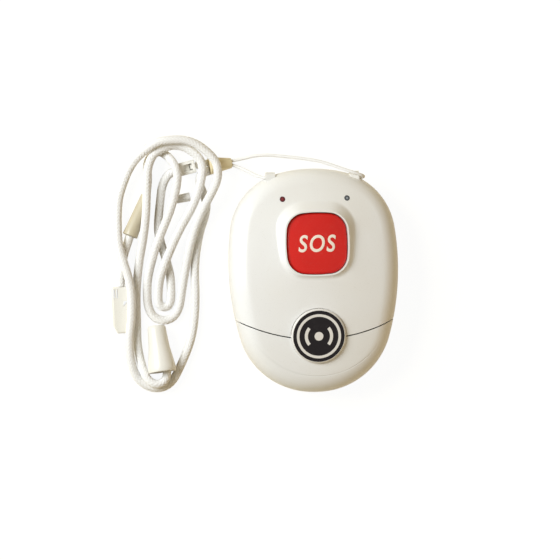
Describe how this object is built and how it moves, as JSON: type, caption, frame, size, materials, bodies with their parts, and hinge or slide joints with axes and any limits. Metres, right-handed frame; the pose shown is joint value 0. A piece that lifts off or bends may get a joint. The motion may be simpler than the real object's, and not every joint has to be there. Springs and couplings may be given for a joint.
{
  "type": "wireless panic button",
  "caption": "Wearable wireless panic button: egg-shaped white pendant with a square red push button, badge disc and sliding battery cover, on a folded white neck cord with breakaway clips.",
  "frame": {"origin": "middle of the pendant, on the flat back it lies on", "axes": "+Z out of the front with the button, +Y towards the end that hangs on the string, +X to the right seen from the front"},
  "size_m": [0.0819, 0.0742, 0.0171],
  "materials": {
    "white_plastic": "satin",
    "cream_plastic": "satin",
    "black_print": "gloss",
    "red_plastic": "satin",
    "black_plastic": "satin",
    "board_green": "satin",
    "red_lens": "gloss",
    "grey_lens": "gloss",
    "led_resin": "gloss",
    "shield_metal": "satin",
    "brass_wire": "satin",
    "cell_jacket": "gloss",
    "nickel_spring": "polished",
    "screw_steel": "zinc plated",
    "fitting_plastic": "satin",
    "string_fabric": "thin braided string",
    "cord_fabric": "woven cord"
  },
  "bodies": {
    "pendant": {"front_shell": "white_plastic", "rear_shell": "white_plastic", "switch_body": "black_plastic", "circuit_board": "board_green", "alert_light_lens": "red_lens", "status_light_lens": "grey_lens", "alert_led": "led_resin", "status_led": "led_resin", "controller_chip": "black_plastic", "radio_can": "shield_metal", "antenna_wire": "brass_wire", "battery_cell": "cell_jacket", "battery_contact_negative": "nickel_spring", "battery_contact_positive": "nickel_spring", "screw_left": "screw_steel", "screw_right": "screw_steel", "screw_lower": "screw_steel", "string_ferrule": "fitting_plastic", "buckle_socket": "fitting_plastic", "buckle_plug": "fitting_plastic", "cord_cap": "fitting_plastic", "clasp_plug": "fitting_plastic", "bell_joiner": "fitting_plastic", "string_loop": "string_fabric", "neck_cord_inner": "cord_fabric", "neck_cord_outer": "cord_fabric", "link_cord": "cord_fabric", "cord_tail": "cord_fabric"},
    "button": {"button_cap": "red_plastic", "switch_plunger": "black_plastic"},
    "cover": {"battery_cap": "white_plastic", "badge_disc": "cream_plastic", "badge_inlay": "black_print"}
  },
  "joints": [
    {"name": "button_press", "type": "slide", "parent": "pendant", "child": "button", "axis": [0, 0, -1], "range_m": [0, 0.0005], "stiffness_N_per_m": 3000},
    {"name": "cover_slide", "type": "slide", "parent": "pendant", "child": "cover", "axis": [0, -1, 0], "range_m": [0, 0.022]}
  ]
}
